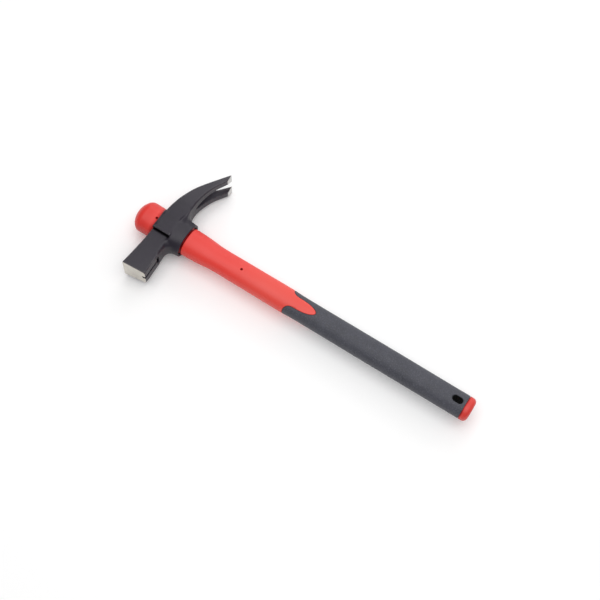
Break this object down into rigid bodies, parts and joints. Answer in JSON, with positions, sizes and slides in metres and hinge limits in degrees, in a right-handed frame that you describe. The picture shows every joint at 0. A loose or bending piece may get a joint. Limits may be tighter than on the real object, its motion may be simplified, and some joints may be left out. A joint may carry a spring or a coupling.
{
  "type": "formwork hammer",
  "caption": "Formwork hammer with a square striking face, nail-starter groove, curved slotted claw and a long two-colour moulded handle with soft grip and hang hole.",
  "frame": {"origin": "below the middle of the bounding box, on the plane the hammer lies on", "axes": "+X along the handle from the knob to the butt, +Y from the striking face to the claw, +Z across the cheeks, up when the hammer lies on its side"},
  "size_m": [0.4002, 0.1432, 0.0387],
  "materials": {
    "forged_black": "satin black coating on forged steel, bare ground steel on the striking face and claw tips",
    "magnet": "plated disc",
    "glass_fibre": "pultruded glass-fibre rod",
    "red_plastic": "satin moulded polypropylene",
    "grey_grip": "fine-grained soft thermoplastic",
    "red_cap": "satin moulded polypropylene"
  },
  "bodies": {
    "root": {"forged_head": "forged_black", "nail_magnet": "magnet", "handle_core": "glass_fibre", "handle_casing": "red_plastic", "grip_sleeve": "grey_grip", "butt_cap": "red_cap"}
  },
  "joints": []
}
